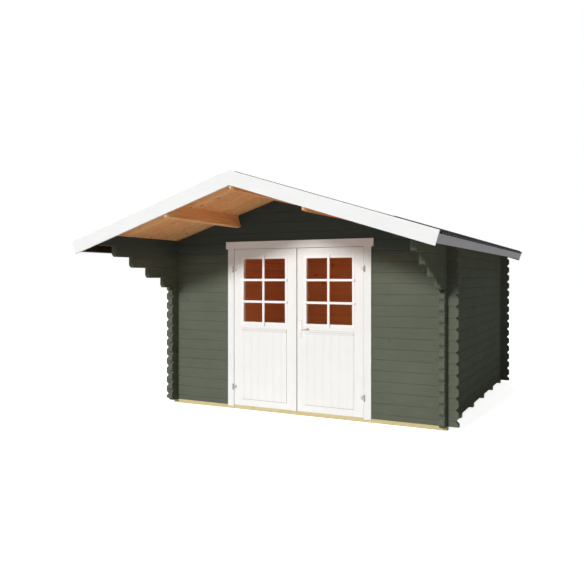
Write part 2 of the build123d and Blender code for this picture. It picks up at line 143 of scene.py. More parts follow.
def softwood_group():
    tree, given, result = new_group(
        "Softwood grain",
        {"Vector": "v", "Stretch": "v", "Knot Scale": "v", "Seed": "f"},
        {"Rings": "f", "Fibre": "f", "Knot": "f"})
    shift = put(tree, "CombineXYZ", None, {
        "X": sums(tree, "MULTIPLY", given.outputs["Seed"], 3.71),
        "Y": sums(tree, "MULTIPLY", given.outputs["Seed"], 5.13),
        "Z": sums(tree, "MULTIPLY", given.outputs["Seed"], 7.37)})
    along = put(tree, "VectorMath", {"operation": "MULTIPLY"},
                {0: given.outputs["Vector"], 1: given.outputs["Stretch"]})
    moved = put(tree, "VectorMath", {"operation": "ADD"},
                {0: along.outputs[0], 1: shift.outputs[0]})
    spread = put(tree, "VectorMath", {"operation": "MULTIPLY"},
                 {0: given.outputs["Vector"], 1: given.outputs["Knot Scale"]})
    placed = put(tree, "VectorMath", {"operation": "ADD"},
                 {0: spread.outputs[0], 1: shift.outputs[0]})
    cells = put(tree, "TexVoronoi", {"voronoi_dimensions": "3D"},
                {"Vector": placed.outputs[0], "Scale": 1.0})
    own = put(tree, "SeparateColor", None, {"Color": cells.outputs["Color"]})
    kept = sums(tree, "GREATER_THAN", own.outputs[0], knot_threshold)
    near = sums(tree, "MULTIPLY", fade(tree, cells.outputs["Distance"], knot_reach, 0.0), kept)
    knot = sums(tree, "MULTIPLY", fade(tree, cells.outputs["Distance"], knot_rim, knot_core), kept)
    waves = put(tree, "TexNoise", None,
                {"Vector": moved.outputs[0], "Scale": 1.0, "Detail": 2.0, "Roughness": 0.4})
    bent = sums(tree, "ADD", waves.outputs["Fac"], sums(tree, "MULTIPLY", near, 0.4))
    turns = sums(tree, "SINE", sums(tree, "MULTIPLY", bent, ring_turns))
    rings = fade(tree, turns, -0.9, 1.0)
    fibre = put(tree, "TexNoise", None,
                {"Vector": moved.outputs[0], "Scale": 14.0, "Detail": 4.0, "Roughness": 0.6})
    connect(tree, result, {"Rings": rings, "Fibre": fibre.outputs["Fac"], "Knot": knot})
    return tree


softwood = softwood_group()


def grain_stretch(along):
    """Scale of the rings: long along the board, fine across it."""
    return tuple(0.35 if axis == along else 6.0 for axis in "XYZ")


def knot_scale(along, across):
    """Scale of the knots on the face between two axes: a little longer along the board."""
    return tuple({along: 4.0, across: 6.0}.get(axis, 0.01) for axis in "XYZ")


print("grain group nodes:", len(softwood.nodes))


# %% [markdown]
# ## One tone for each board
# No two boards of a wall take the stain or the paint alike. The piece's own
# position says which board a point is on: dividing by the board's pitch and
# dropping the fraction gives a number that is the same over one whole board.

# %% Board number group
def board_group():
    tree, given, result = new_group("Board number", {"Across": "f", "Pitch": "f", "Start": "f"},
                                    {"Seed": "f", "Tone": "f"})
    steps = sums(tree, "FLOOR", sums(
        tree, "DIVIDE", sums(tree, "SUBTRACT", given.outputs["Across"], given.outputs["Start"]),
        given.outputs["Pitch"]))
    noise = put(tree, "TexWhiteNoise", {"noise_dimensions": "1D"}, {"W": steps})
    connect(tree, result, {"Seed": steps, "Tone": noise.outputs["Value"]})
    return tree


board_number = board_group()


# %% [markdown]
# ## Bare and stained spruce
# The soffit, the purlins and everything indoors are spruce. Early wood is
# light, late wood darker, and the knots are darkest. Where two boards or logs
# meet there is a thin dark joint. The same network serves them all, with three
# colours, a board pitch and a joint's width.

# %% Spruce colour group
def spruce_group():
    tree, given, result = new_group(
        "Spruce colour",
        {"Vector": "v", "Stretch": "v", "Knot Scale": "v", "Across": "f", "Pitch": "f", "Start": "f",
         "Joint": "f", "Pale": "c", "Deep": "c", "Knot": "c"},
        {"Color": "c", "Relief": "f"})
    boards = use_group(tree, board_number, {
        "Across": given.outputs["Across"], "Pitch": given.outputs["Pitch"],
        "Start": given.outputs["Start"]})
    grain = use_group(tree, softwood, {
        "Vector": given.outputs["Vector"], "Stretch": given.outputs["Stretch"],
        "Knot Scale": given.outputs["Knot Scale"], "Seed": boards.outputs["Seed"]})
    share = sums(tree, "ADD", sums(tree, "MULTIPLY", grain.outputs["Rings"], 0.35),
                 sums(tree, "MULTIPLY", grain.outputs["Fibre"], 0.45))
    toned = sums(tree, "ADD", share, sums(tree, "MULTIPLY", boards.outputs["Tone"], 0.45))
    body = blend(tree, fade(tree, toned, 0.1, 1.25), given.outputs["Pale"], given.outputs["Deep"])
    knotty = blend(tree, grain.outputs["Knot"], body, given.outputs["Knot"])
    from_start = sums(tree, "SUBTRACT", given.outputs["Across"], given.outputs["Start"])
    to_joint = sums(tree, "PINGPONG", from_start, sums(tree, "MULTIPLY", given.outputs["Pitch"], 0.5))
    joint = sums(tree, "LESS_THAN", to_joint, given.outputs["Joint"])
    seam = blend(tree, sums(tree, "MULTIPLY", joint, 0.6), knotty, given.outputs["Knot"])
    relief = sums(tree, "SUBTRACT", share, sums(tree, "MULTIPLY", joint, 1.5))
    connect(tree, result, {"Color": seam, "Relief": relief})
    return tree


spruce = spruce_group()


# %% [markdown]
# ## The painted logs
# Outdoors the logs carry an opaque grey-green paint that lets only the relief
# of the grain through. Indoors they were left bare. A log is one piece of the
# frame, so the material itself tells the two apart: a point within the inner
# wall faces is indoors. A second mask finds the timber high under the porch
# roof and darkens its paint there. This is painted shade, standing in for the
# shade that the roof casts on it.

# %% Indoors and shelter masks
room_half_width, room_front, room_back = 1.7215, -1.0515, 2.3915
# Heights over which the porch's painted shade comes in.
porch_shade_low, porch_shade_high = 1.75, 2.05


def indoors_group():
    """Within the inner faces of the four walls."""
    tree, given, result = new_group("Indoors", {"Vector": "v"}, {"Inside": "f"})
    spot = put(tree, "SeparateXYZ", None, {"Vector": given.outputs["Vector"]})
    within = sums(tree, "LESS_THAN", sums(tree, "ABSOLUTE", spot.outputs["X"]), room_half_width)
    behind = sums(tree, "GREATER_THAN", spot.outputs["Y"], room_front)
    before = sums(tree, "LESS_THAN", spot.outputs["Y"], room_back)
    inside = sums(tree, "MULTIPLY", within, sums(tree, "MULTIPLY", behind, before))
    connect(tree, result, {"Inside": inside})
    return tree


indoors = indoors_group()


def porch_shade_group():
    """High up in the porch, between the corbels: where the paint takes painted shade."""
    tree, given, result = new_group("Porch painted shade", {"Vector": "v"}, {"Porch Shade": "f"})
    spot = put(tree, "SeparateXYZ", None, {"Vector": given.outputs["Vector"]})
    within = sums(tree, "LESS_THAN", sums(tree, "ABSOLUTE", spot.outputs["X"]), room_half_width)
    front = sums(tree, "LESS_THAN", spot.outputs["Y"], room_front)
    high = fade(tree, spot.outputs["Z"], porch_shade_low, porch_shade_high)
    porch_shade = sums(tree, "MULTIPLY", high, sums(tree, "MULTIPLY", within, front))
    connect(tree, result, {"Porch Shade": porch_shade})
    return tree


porch_painted_shade = porch_shade_group()


# %% [markdown]
# ## Paint on timber
# Brushed paint is never quite even: its tone drifts in soft patches, the
# fibre shows through as fine strokes, and the knots underneath stay visible as
# darker spots.

# %% Paint group
knot_under_paint = linear(40, 42, 36)


def paint_group():
    tree, given, result = new_group(
        "Paint on timber",
        {"Vector": "v", "Stretch": "v", "Knot Scale": "v", "Paint": "c", "Shade": "c", "Seed": "f",
         "Knots": "f"},
        {"Color": "c", "Roughness": "f", "Relief": "f"})
    grain = use_group(tree, softwood, {
        "Vector": given.outputs["Vector"], "Stretch": given.outputs["Stretch"],
        "Knot Scale": given.outputs["Knot Scale"], "Seed": given.outputs["Seed"]})
    patches = put(tree, "TexNoise", None,
                  {"Vector": given.outputs["Vector"], "Scale": 2.3, "Detail": 3.0, "Roughness": 0.55})
    strokes = sums(tree, "MULTIPLY", grain.outputs["Fibre"], 0.5)
    share = sums(tree, "ADD", strokes, sums(tree, "MULTIPLY", patches.outputs["Fac"], 0.5))
    brushed = blend(tree, fade(tree, share, 0.3, 0.75), given.outputs["Paint"], given.outputs["Shade"])
    knots = sums(tree, "MULTIPLY", grain.outputs["Knot"], given.outputs["Knots"])
    relief = sums(tree, "ADD", sums(tree, "MULTIPLY", grain.outputs["Rings"], 0.35),
                  sums(tree, "MULTIPLY", grain.outputs["Fibre"], 0.65))
    connect(tree, result, {"Color": blend(tree, knots, brushed, knot_under_paint),
                           "Roughness": fade(tree, share, 0.25, 0.75, 0.42, 0.6), "Relief": relief})
    return tree


paint = paint_group()

# %% [markdown]
# ## Painted timber
# Each painted material is made once per grain direction, since a log that runs
# along X has its grain there too. The door's panels get painted shade along the
# ledges of their moulding and a painted shadow line along their foot. The eaves
# boards are white paint darkened to pale grey as painted shade, with bare timber
# darkened further as painted shade on the face turned to the wall. Both are
# masks made from the place on the piece.

# %% Painted materials
# The third log colour is painted shade, for the paint high in the porch under the roof.
log_paint, log_shade, log_porch_painted_shade = linear(102, 108, 94), linear(94, 99, 86), linear(72, 81, 77)
white_paint, white_shade = linear(243, 244, 242), linear(238, 238, 235)
crisp_paint, crisp_shade = linear(250, 250, 248), linear(247, 247, 244)
# The eaves colours are painted shade: a white paint darkened to pale grey, and bare timber darkened further
# for the inner face.
eaves_white_painted_shade, eaves_white_painted_shade_patch, eaves_bare_painted_shade = linear(212, 210, 213), linear(204, 202, 206), linear(62, 54, 44)
spruce_indoors = {"Pale": linear(222, 142, 74), "Deep": linear(200, 116, 52), "Knot": linear(84, 38, 18)}
# These greys are painted shade and a painted shadow, for the door panels' mouldings and their foot.
ledge_shadow_line, ledge_painted_shade, foot_painted_shadow = linear(216, 217, 213), linear(240, 240, 237), linear(190, 190, 187)
course_height, base_level = 0.121, 0.045
log_joint = 0.0011
ledge_level, ledge_half_height = 0.986, 0.0212
panel_foot, foot_shadow_height = base_level + 0.085, 0.005
pitch, ridge_level, deck_length = math.radians(17.5), 2.6412, 2.1389


def grain_relief(tree, shader, height, strength, distance=0.002):
    """Bump from a height."""
    bump = put(tree, "Bump", None, {"Strength": strength, "Distance": distance, "Height": height})
    connect(tree, shader, {"Normal": bump.outputs["Normal"]})


def coated(tree, shader, colour, coat, specular, strength, distance=0.002):
    """Puts a colour and the roughness and relief of a coat of paint on the shader."""
    connect(tree, shader, {"Base Color": colour, "Roughness": coat.outputs["Roughness"],
                           "Specular IOR Level": specular})
    grain_relief(tree, shader, coat.outputs["Relief"], strength, distance)


def log_material(name, axis, phase):
    """Painted outdoors and bare indoors, with a tone for each log and painted shade high in the porch."""
    material, tree, shader = new_material(name)
    place = put(tree, "TexCoord").outputs["Object"]
    spot = put(tree, "SeparateXYZ", None, {"Vector": place})
    stretch, knots = grain_stretch(axis), knot_scale(axis, "Z")
    boards = use_group(tree, board_number, {
        "Across": spot.outputs["Z"], "Pitch": course_height, "Start": base_level - phase})
    coat = use_group(tree, paint, {
        "Vector": place, "Stretch": stretch, "Knot Scale": knots, "Paint": log_paint,
        "Shade": log_shade, "Seed": boards.outputs["Seed"], "Knots": 0.22})
    # High in the porch the paint is darkened: painted shade.
    porch_shade = use_group(tree, porch_painted_shade, {"Vector": place}).outputs["Porch Shade"]
    outdoors = blend(tree, porch_shade, coat.outputs["Color"], log_porch_painted_shade)
    bare = use_group(tree, spruce, {
        "Vector": place, "Stretch": stretch, "Knot Scale": knots, "Across": spot.outputs["Z"],
        "Pitch": course_height, "Start": base_level - phase, "Joint": log_joint, **spruce_indoors})
    inside = use_group(tree, indoors, {"Vector": place}).outputs["Inside"]
    coated(tree, shader, blend(tree, inside, outdoors, bare.outputs["Color"]), coat, 0.0, 0.35)
    return material


def white_material(name, axis, light=white_paint, shade=white_shade):
    """White paint, the same all over."""
    material, tree, shader = new_material(name)
    coat = use_group(tree, paint, {
        "Vector": put(tree, "TexCoord").outputs["Object"], "Stretch": grain_stretch(axis),
        "Paint": light, "Shade": shade})
    coated(tree, shader, coat.outputs["Color"], coat, 0.1, 0.05, 0.001)
    return material


def panel_material(name):
    """White paint with painted shade: greyer along the moulding's ledges, and a thin painted shadow along
    the panel's foot.
    """
    material, tree, shader = new_material(name)
    place = put(tree, "TexCoord").outputs["Object"]
    spot = put(tree, "SeparateXYZ", None, {"Vector": place})
    coat = use_group(tree, paint, {
        "Vector": place, "Stretch": grain_stretch("Z"), "Paint": white_paint, "Shade": white_shade})
    # The moulding's ledges and the panel's foot get painted shade.
    from_ledge = sums(tree, "ABSOLUTE", sums(tree, "SUBTRACT", spot.outputs["Z"], ledge_level))
    ledge = sums(tree, "LESS_THAN", from_ledge, ledge_half_height)
    to_edge = sums(tree, "PINGPONG", from_ledge, ledge_half_height / 2)
    ledge_shade = blend(tree, fade(tree, to_edge, 0.002, 0.006), ledge_shadow_line, ledge_painted_shade)
    from_foot = sums(tree, "ABSOLUTE", sums(tree, "SUBTRACT", spot.outputs["Z"], panel_foot))
    foot = sums(tree, "LESS_THAN", from_foot, foot_shadow_height)
    edged = blend(tree, foot, coat.outputs["Color"], foot_painted_shadow)
    coated(tree, shader, blend(tree, ledge, edged, ledge_shade), coat, 0.1, 0.05, 0.001)
    return material


def eaves_material(name):
    """White paint darkened to pale grey as painted shade outside, and bare timber darkened further as
    painted shade on the face turned to the wall.
    """
    material, tree, shader = new_material(name)
    place = put(tree, "TexCoord").outputs["Object"]
    spot = put(tree, "SeparateXYZ", None, {"Vector": place})
    coat = use_group(tree, paint, {
        "Vector": place, "Stretch": grain_stretch("Y"), "Paint": eaves_white_painted_shade, "Shade": eaves_white_painted_shade_patch})
    outward = sums(tree, "MULTIPLY", sums(tree, "ABSOLUTE", spot.outputs["X"]), math.cos(pitch))
    drop = sums(tree, "SUBTRACT", ridge_level, spot.outputs["Z"])
    downward = sums(tree, "MULTIPLY", drop, math.sin(pitch))
    # The face turned to the wall takes the darker colour: painted shade.
    inner_face_shade = sums(tree, "LESS_THAN", sums(tree, "ADD", outward, downward), deck_length + 0.0005)
    coated(tree, shader, blend(tree, inner_face_shade, coat.outputs["Color"], eaves_bare_painted_shade), coat, 0.0, 0.2, 0.001)
    return material


logs_along_x = log_material("painted_log_x", "X", course_height / 2)
logs_along_y = log_material("painted_log_y", "Y", 0.0)
white_x, white_z = white_material("white_wood_x", "X"), white_material("white_wood_z", "Z")
crisp_white = white_material("white_beads", "Z", crisp_paint, crisp_shade)
panel_white = panel_material("white_panel")
eaves_paint_and_shade = eaves_material("eaves_board_paint")
print("painted materials:", len(bpy.data.materials))

# %% [markdown]
# ## Bare and stained timber
# The soffit and the purlins are stained, the floor is plain, and the bearers
# under it are paler. Where a purlin is sawn off, its end grain is pale too,
# which a mask far out on its axis shows.

# %% Bare and stained materials
spruce_soffit = {"Pale": linear(255, 205, 146), "Deep": linear(244, 154, 92), "Knot": linear(120, 58, 30)}
plain_colours = {"Pale": linear(214, 172, 118), "Deep": linear(190, 142, 88), "Knot": linear(110, 66, 34)}
bearer_colours = {"Pale": linear(216, 202, 158), "Deep": linear(200, 182, 130), "Knot": linear(140, 106, 60)}
fresh_sawn = linear(218, 190, 142)
soffit_board_pitch, floor_board_pitch, single_board = 0.107083, 0.107, 0.3
roof_end = 2.570


def spruce_material(name, axis, across, width, colours, start=0.0, rough=0.55, sawn_end=None, face=None):
    """Spruce along an axis, in boards of a width across another one.

    A sawn_end is how far out its pale cut ends lie on its axis. A face is the axis that its
    knotty face spans, where that isn't the one across the boards.
    """
    material, tree, shader = new_material(name)
    place = put(tree, "TexCoord").outputs["Object"]
    spot = put(tree, "SeparateXYZ", None, {"Vector": place})
    wood = use_group(tree, spruce, {
        "Vector": place, "Stretch": grain_stretch(axis),
        "Knot Scale": knot_scale(axis, face or across), "Across": spot.outputs[across],
        "Pitch": width, "Start": start, **colours})
    colour = wood.outputs["Color"]
    if sawn_end:
        cut = sums(tree, "GREATER_THAN", sums(tree, "ABSOLUTE", spot.outputs[axis]), sawn_end)
        colour = blend(tree, cut, colour, fresh_sawn)
    connect(tree, shader, {"Base Color": colour, "Roughness": rough, "Specular IOR Level": 0.05})
    grain_relief(tree, shader, wood.outputs["Relief"], 0.25, 0.001)
    return material


soffit_wood = spruce_material("soffit_boards_wood", "X", "Y", soffit_board_pitch, spruce_soffit,
                              start=-roof_end)
purlin_wood = spruce_material("purlin_wood", "Y", "X", single_board, spruce_soffit,
                              start=-single_board / 2, sawn_end=roof_end - 0.0005, face="Z")
floor_wood = spruce_material("floor_boards_wood", "Y", "X", floor_board_pitch, plain_colours)
bearer_wood = spruce_material("bearer_wood", "X", "Y", single_board, bearer_colours, rough=0.75)
print("timber materials:", len(bpy.data.materials))


# %% [markdown]
# ## Felt, glass and metal
# The roofing felt is bitumen strewn with mineral grains. The glass is clear,
# and its shadow is let through, so that daylight reaches the back wall. The
# hinges and the handle are satin steel.

# %% Felt, glass and metal
felt_dark, felt_light = linear(22, 22, 23), linear(46, 45, 45)


def felt_material():
    """Dark grains in soft patches."""
    material, tree, shader = new_material("roofing_felt_mineral")
    place = put(tree, "TexCoord").outputs["Object"]
    grains = put(tree, "TexVoronoi", None, {"Vector": place, "Scale": 420.0})
    patches = put(tree, "TexNoise", None, {"Vector": place, "Scale": 3.0, "Detail": 4.0})
    speck = fade(tree, grains.outputs["Distance"], 0.1, 0.8)
    share = sums(tree, "ADD", sums(tree, "MULTIPLY", speck, 0.5),
                 sums(tree, "MULTIPLY", patches.outputs["Fac"], 0.5))
    connect(tree, shader, {"Base Color": blend(tree, share, felt_dark, felt_light),
                           "Roughness": fade(tree, share, 0.2, 0.8, 0.75, 0.95),
                           "Specular IOR Level": 0.05})
    grain_relief(tree, shader, speck, 0.6, 0.001)
    return material


def glass_material():
    """Clear glass that takes little from the light passing through."""
    material, tree, shader = new_material("pane_glass_clear")
    light = put(tree, "LightPath")
    passing = sums(tree, "MAXIMUM", light.outputs["Is Shadow Ray"], light.outputs["Is Diffuse Ray"])
    connect(tree, shader, {"Base Color": (1.0, 1.0, 1.0, 1.0), "Roughness": 0.02, "IOR": 1.5,
                           "Specular IOR Level": 0.08, "Transmission Weight": 1.0,
                           "Alpha": fade(tree, passing, 0.0, 1.0, 0.06, 0.03)})
    return material


def steel_material(name, colour, low, high):
    """Satin steel, its roughness drifting between two values."""
    material, tree, shader = new_material(name)
    place = put(tree, "TexCoord").outputs["Object"]
    haze = put(tree, "TexNoise", None, {"Vector": place, "Scale": 60.0, "Detail": 5.0})
    connect(tree, shader, {"Base Color": colour, "Metallic": 1.0,
                           "Roughness": fade(tree, haze.outputs["Fac"], 0.3, 0.7, low, high)})
    grain_relief(tree, shader, haze.outputs["Fac"], 0.08, 0.0005)
    return material


def mottled_material(name, scale, dark, light):
    """A plain surface that drifts between two close tones."""
    material, tree, shader = new_material(name)
    place = put(tree, "TexCoord").outputs["Object"]
    film = put(tree, "TexNoise", None, {"Vector": place, "Scale": scale, "Detail": 3.0})
    connect(tree, shader, {"Base Color": blend(tree, film.outputs["Fac"], dark, light)})
    return material, shader


felt = felt_material()
glass = glass_material()
hinge_steel = steel_material("hinge_steel_satin", linear(176, 167, 161), 0.3, 0.45)
handle_steel = steel_material("handle_steel_satin", linear(210, 203, 198), 0.28, 0.4)
print("materials:", len(bpy.data.materials))


# %% [markdown]
# ## Dress the frame
# The frame's pieces keep their shape and take the new materials in the slots
# that they came with.

# %% Assign materials to the frame
def dress(name, material):
    """Puts a material in every slot of a piece of the frame."""
    for place in nodes[name].material_slots:
        place.material = material


for name in nodes:
    if name.endswith("_logs"):
        sideways = name.startswith(("left_wall", "right_wall"))
        dress(name, logs_along_y if sideways else logs_along_x)
for name in ("left_fascia_boards", "right_fascia_boards", "head_casing", "head_jamb"):
    dress(name, white_x)
for name in ("side_casings", "cover_strip", "side_jambs", "door_stops"):
    dress(name, white_z)
dress("eaves_boards", eaves_paint_and_shade)
for side in ("left", "right"):
    dress(f"{side}_leaf_frame", white_z)
    dress(f"{side}_leaf_panel", panel_white)
    dress(f"{side}_leaf_beads", crisp_white)
    dress(f"{side}_leaf_glass", glass)
    dress(f"{side}_leaf_hinges", hinge_steel)
    dress(f"{side}_roof_felt", felt)
for name in ("threshold", "floor_bearers"):
    dress(name, bearer_wood)
for name in ("handle_plates", "door_lever"):
    dress(name, handle_steel)
dress("frame_hinges", hinge_steel)
print("dressed:", len([n for n in nodes if nodes[n].material_slots]))


# %% [markdown]
# ## A small workshop
# The pieces below are worked like timber. A block is cut to size, its edges
# are eased, and it is sawn, tipped to the roof's slope or repeated in a row.
# Each helper does one of these to the active object. The last one names the
# piece, gives it its material and fixes it to the body that it moves with.

# %% Modelling helpers
def finished(name, body, material):
    """The active object named, dressed and fixed to its body, unturned and unscaled."""
    piece = bpy.context.object
    piece.name = piece.data.name = name
    bpy.ops.object.transform_apply(location=True, rotation=True, scale=True)
    piece.data.materials.clear()
    piece.data.materials.append(material)
    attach(piece, body)
    return piece


def block(low, high):
    """A cube between two corners, with its size applied."""
    bpy.ops.object.select_all(action="DESELECT")
    centre = [(a + b) / 2 for a, b in zip(low, high)]
    bpy.ops.mesh.primitive_cube_add(size=1, location=centre, scale=[b - a for a, b in zip(low, high)])
    bpy.ops.object.transform_apply(location=True, rotation=True, scale=True)
    return bpy.context.object


def ease_edges(offset, pick=None, segments=1):
    """Bevels the active object's edges, all of them or those that pick accepts."""
    piece = bpy.context.object
    bpy.ops.object.mode_set(mode="EDIT")
    bpy.ops.mesh.select_mode(type="EDGE")
    bpy.ops.mesh.select_all(action="DESELECT" if pick else "SELECT")
    if pick:
        bpy.ops.object.mode_set(mode="OBJECT")
        for edge in piece.data.edges:
            edge.select = pick(*[piece.data.vertices[v].co for v in edge.vertices])
        bpy.ops.object.mode_set(mode="EDIT")
    bpy.ops.mesh.bevel(offset=offset, segments=segments, affect="EDGES")
    bpy.ops.object.mode_set(mode="OBJECT")


def join(pieces):
    """One object from several."""
    bpy.ops.object.select_all(action="DESELECT")
    for piece in pieces:
        piece.select_set(True)
    bpy.context.view_layer.objects.active = pieces[0]
    bpy.ops.object.join()


def saw(point, normal):
    """Cuts the active object along a plane and drops what lies on the normal's side."""
    bpy.ops.object.mode_set(mode="EDIT")
    bpy.ops.mesh.select_all(action="SELECT")
    bpy.ops.mesh.bisect(plane_co=point, plane_no=normal, clear_outer=True, use_fill=True)
    bpy.ops.object.mode_set(mode="OBJECT")


def tip_to_slope(side):
    """Turns the active object, modelled flat with the ridge at X = 0, onto one slope of the roof."""
    bpy.ops.transform.rotate(value=-side * pitch, orient_axis="Y", center_override=(0, 0, 0))
    bpy.ops.transform.translate(value=(0, 0, ridge_level))
    bpy.ops.object.transform_apply(location=True, rotation=True, scale=True)


def repeat(count, step):
    """Repeats the active object along a step and makes it real."""
    piece = bpy.context.object
    row = piece.modifiers.new("Row", "ARRAY")
    row.count = count
    row.use_relative_offset = False
    row.use_constant_offset = True
    row.constant_offset_displace = step
    bpy.ops.object.modifier_apply(modifier=row.name)


# %% [markdown]
# ## Boards under the roof
# The frame has the roof deck as one slab per slope. The real one is nailed up
# from narrow boards that run from the ridge to the eaves, with a small V where
# two meet underneath. One board is modelled lying flat, tipped to the slope,
# cut off plumb at the ridge and repeated along the roof.

# %% Roof boards
deck_thickness = 0.020
board_count = 48
past_ridge = 0.02
deck_low, deck_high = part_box("right_roof_boards")
board_width = (deck_high.y - deck_low.y) / board_count

for side, name in ((-1, "left"), (1, "right")):
    reach = sorted((-past_ridge * side, deck_length * side))
    block((reach[0], deck_low.y, 0.0), (reach[1], deck_low.y + board_width, deck_thickness))
    ease_edges(0.003, lambda a, b: abs(a.x - b.x) > 1 and max(a.z, b.z) < 0.001)
    tip_to_slope(side)
    saw((0, 0, 0), (-side, 0, 0))
    repeat(board_count, (0.0, board_width, 0.0))
    boards = finished(f"{name}_soffit_boards", "cabin", soffit_wood)
    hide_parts(f"{name}_roof_boards")
    print(boards.name, [round(x, 4) for x in boards.dimensions], len(boards.data.polygons))

# %% [markdown]
# ## Purlins with pointed ends
# Three beams carry the roof: the ridge purlin, bevelled on top to both slopes,
# and a side purlin square to each slope. Out at the fascias both lower corners
# of their ends are sawn off aslant, so that the pale cut end comes to a point.
# A bisect that fills its cut works like a saw, so each beam starts as a block
# and is sawn to shape.

# %% Purlins
beam_half, side_beam_height, side_beam_distance = 0.025, 0.145, 0.870
tip_height, tip_reach = 0.046, 0.040


def point_ends(middle, bottom):
    """Saws both lower corners off both ends of the active beam."""
    for end in (-1, 1):
        for side in (-1, 1):
            tip = Vector((middle, end * roof_end, bottom))
            high = Vector((middle + side * beam_half, end * roof_end, bottom + tip_height))
            back = Vector((middle + side * beam_half, end * (roof_end - tip_reach), bottom))
            away = (high - tip).cross(back - tip).normalized()
            saw(tip, away if away.x * side > 0 else -away)


ridge_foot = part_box("ridge_purlin")[0].z
block((-beam_half, -roof_end, ridge_foot), (beam_half, roof_end, ridge_level))
for side in (-1, 1):
    saw((0, 0, ridge_level), (side * math.sin(pitch), 0, math.cos(pitch)))
ease_edges(0.002, lambda a, b: abs(a.y - b.y) > 1 and max(a.z, b.z) < ridge_foot + 0.001)
point_ends(0.0, ridge_foot)
ridge_beam = finished("ridge_beam", "cabin", purlin_wood)
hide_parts("ridge_purlin")

beams = []
for side in (-1, 1):
    middle = side * side_beam_distance
    block((middle - beam_half, -roof_end, -side_beam_height), (middle + beam_half, roof_end, 0))
    ease_edges(0.002, lambda a, b: abs(a.y - b.y) > 1 and max(a.z, b.z) < -0.1)
    point_ends(middle, -side_beam_height)
    tip_to_slope(side)
    beams.append(bpy.context.object)
join(beams)
side_beams = finished("side_beams", "cabin", purlin_wood)
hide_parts("side_purlins")

# %% [markdown]
# ## Floor boards
# The floor shows when the doors stand open: tongued boards from front to back
# across the bearers, with a fine V at each joint.

# %% Floor boards
floor_low, floor_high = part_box("floor_boards")
floor_count = round((floor_high.x - floor_low.x) / floor_board_pitch)
floor_width = (floor_high.x - floor_low.x) / floor_count
block(floor_low, (floor_low.x + floor_width, floor_high.y, floor_high.z))
ease_edges(0.0015, lambda a, b: abs(a.y - b.y) > 1 and min(a.z, b.z) > floor_high.z - 0.001)
repeat(floor_count, (floor_width, 0.0, 0.0))
floor_boards = finished("floor_board_rows", "cabin", floor_wood)
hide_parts("floor_boards")
print(floor_boards.name, len(floor_boards.data.polygons))

# %% [markdown]
# ## Bars over the glazing
# The panes are one sheet of glass per leaf. Flat bars lie on the beads in
# front of it, one upright and two across, and their ends run out over the
# leaf's frame, where they cast a small shadow.

# %% Glazing bars
bar_width = 0.028
bar_front, bar_back = -1.145, -1.1275
bar_run_out = 0.035
glazing_x, glazing_z = (0.141, 0.713), (1.081, 1.849)
bar_levels = (1.330, 1.593)
bar_centre = sum(glazing_x) / 2

for side, name in ((-1, "left"), (1, "right")):
    low_x, high_x = sorted((side * (glazing_x[0] - bar_run_out), side * (glazing_x[1] + bar_run_out)))
    upright = (side * bar_centre - bar_width / 2, side * bar_centre + bar_width / 2)
    spans = [(*upright, glazing_z[0] - bar_run_out, glazing_z[1] + bar_run_out)]
    for level in bar_levels:
        for near, far in ((low_x, upright[0]), (upright[1], high_x)):
            spans.append((near, far, level - bar_width / 2, level + bar_width / 2))
    parts = []
    for near, far, bottom, top in spans:
        block((near, bar_front, bottom), (far, bar_back, top))
        ease_edges(0.002, segments=2)
        parts.append(bpy.context.object)
    join(parts)
    bars = finished(f"{name}_glazing_bars", f"{name}_leaf", crisp_white)
    print(bars.name, len(bars.data.polygons))

# %% [markdown]
# ## Felt at the verge
# The felt is carried over a low batten along the front and rear edges of the
# roof, so that rain can't run off over the fascias. It shows as a dark line
# above the white boards. One batten is a block along the slope, with its two
# upper edges eased where the felt bends over it.

# %% Verge battens
felt_top = 0.024
batten_outer, batten_inner, batten_height = 2.552, 2.512, 0.011

for side, name in ((-1, "left"), (1, "right")):
    pieces = []
    for end in (-1, 1):
        across = sorted((end * batten_outer, end * batten_inner))
        reach = sorted((side * 0.03, side * (deck_length - 0.004)))
        block((reach[0], across[0], felt_top + 0.0002), (reach[1], across[1], felt_top + batten_height))
        ease_edges(0.004, lambda a, b: abs(a.x - b.x) > 1 and min(a.z, b.z) > felt_top + 0.01, 3)
        tip_to_slope(side)
        pieces.append(bpy.context.object)
    join(pieces)
    battens = finished(f"{name}_verge_battens", "cabin", felt)
    print(battens.name, len(battens.data.polygons))

# %% [markdown]
# ## Felt laps
# The felt comes in sheets a little under a metre wide, laid from the eaves up,
# so that each sheet laps over the one below. A lapped sheet is a thin block
# whose upper edge is let down to almost nothing.

# %% Felt laps
lap_thickness, lap_feather = 0.003, 0.0003
lap_bands = ((0.10, 0.62), (0.58, 1.40))
roof_side = 2.510

for side, name in ((-1, "left"), (1, "right")):
    sheets = []
    for upper, lower in lap_bands:
        reach = sorted((side * upper, side * lower))
        sheet = block((reach[0], -roof_side, felt_top - 0.001),
                      (reach[1], roof_side, felt_top + lap_thickness))
        bpy.ops.object.mode_set(mode="EDIT")
        bpy.ops.mesh.select_all(action="DESELECT")
        bpy.ops.object.mode_set(mode="OBJECT")
        for vertex in sheet.data.vertices:
            vertex.select = abs(vertex.co.x - side * upper) < 0.001 and vertex.co.z > felt_top
        bpy.ops.object.mode_set(mode="EDIT")
        bpy.ops.mesh.select_mode(type="VERT")
        bpy.ops.transform.translate(value=(0, 0, lap_feather - lap_thickness))
        bpy.ops.object.mode_set(mode="OBJECT")
        ease_edges(0.001, lambda a, b: abs(a.y - b.y) > 1 and min(a.z, b.z) > felt_top + 0.002, 2)
        tip_to_slope(side)
        sheets.append(sheet)
    join(sheets)
    laps = finished(f"{name}_felt_laps", "cabin", felt)
    print(laps.name, len(laps.data.polygons))

